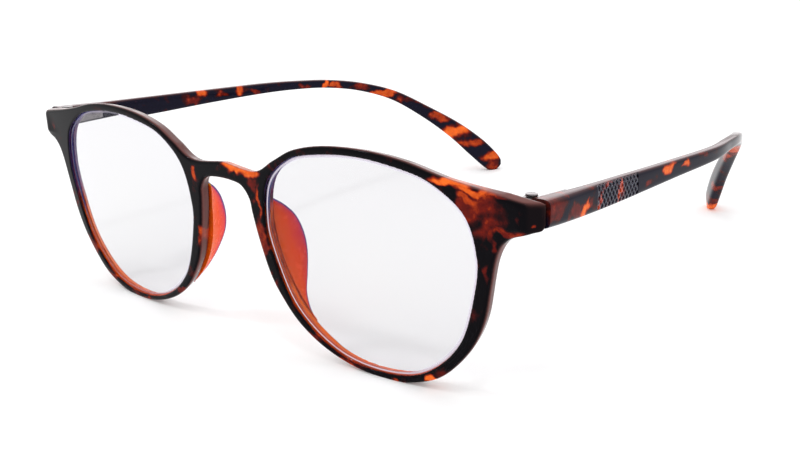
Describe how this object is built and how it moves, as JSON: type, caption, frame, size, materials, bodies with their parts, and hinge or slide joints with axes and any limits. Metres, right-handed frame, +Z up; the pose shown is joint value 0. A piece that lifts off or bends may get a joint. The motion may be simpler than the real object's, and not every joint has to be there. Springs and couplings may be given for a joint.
{
  "type": "folding blue light spectacles",
  "caption": "Full-rim round spectacles with clear lenses, a curved bridge, fixed nose pads and curved temples that fold on small barrel hinges.",
  "frame": {"origin": "middle of the bounding box on the resting plane, under the rim bottoms and temple tips", "axes": "+Z up with the glasses standing open, -Y the way the front faces, +X the wearer's left"},
  "size_m": [0.1418, 0.1226, 0.0426],
  "materials": {
    "frame_tortoiseshell": "polished dark tortoiseshell with amber and red patches",
    "temple_tortoiseshell": "polished tortoiseshell, more amber towards the tips",
    "amber_pad": "smooth translucent amber",
    "clear_lens": "clear with a faint violet-blue reflection",
    "hinge_steel": "bright stamped and turned metal",
    "inlay_tortoiseshell": "moulded diamond net in tortoiseshell plastic"
  },
  "bodies": {
    "front": {"frame_front": "frame_tortoiseshell", "lens_left": "clear_lens", "lens_right": "clear_lens", "nose_pad_left": "amber_pad", "nose_pad_right": "amber_pad", "hinge_front_leaf_left": "hinge_steel", "hinge_front_leaf_right": "hinge_steel", "hinge_screw_left": "hinge_steel", "hinge_screw_right": "hinge_steel", "front_rivet_1_left": "hinge_steel", "front_rivet_1_right": "hinge_steel", "front_rivet_2_left": "hinge_steel", "front_rivet_2_right": "hinge_steel"},
    "temple_arm_left": {"temple_left": "temple_tortoiseshell", "mesh_inlay_left": "inlay_tortoiseshell", "hinge_temple_leaf_left": "hinge_steel", "temple_rivet_1_left": "hinge_steel", "temple_rivet_2_left": "hinge_steel"},
    "temple_arm_right": {"temple_right": "temple_tortoiseshell", "mesh_inlay_right": "inlay_tortoiseshell", "hinge_temple_leaf_right": "hinge_steel", "temple_rivet_1_right": "hinge_steel", "temple_rivet_2_right": "hinge_steel"}
  },
  "joints": [
    {"name": "fold_left", "type": "hinge", "parent": "front", "child": "temple_arm_left", "pos_m": [0.0661, -0.0512, 0.03457], "axis": [0, 0.0924, 0.9957], "range_deg": [0, 73]},
    {"name": "fold_right", "type": "hinge", "parent": "front", "child": "temple_arm_right", "pos_m": [-0.0661, -0.0512, 0.03457], "axis": [0, -0.0924, -0.9957], "range_deg": [0, 68]}
  ]
}
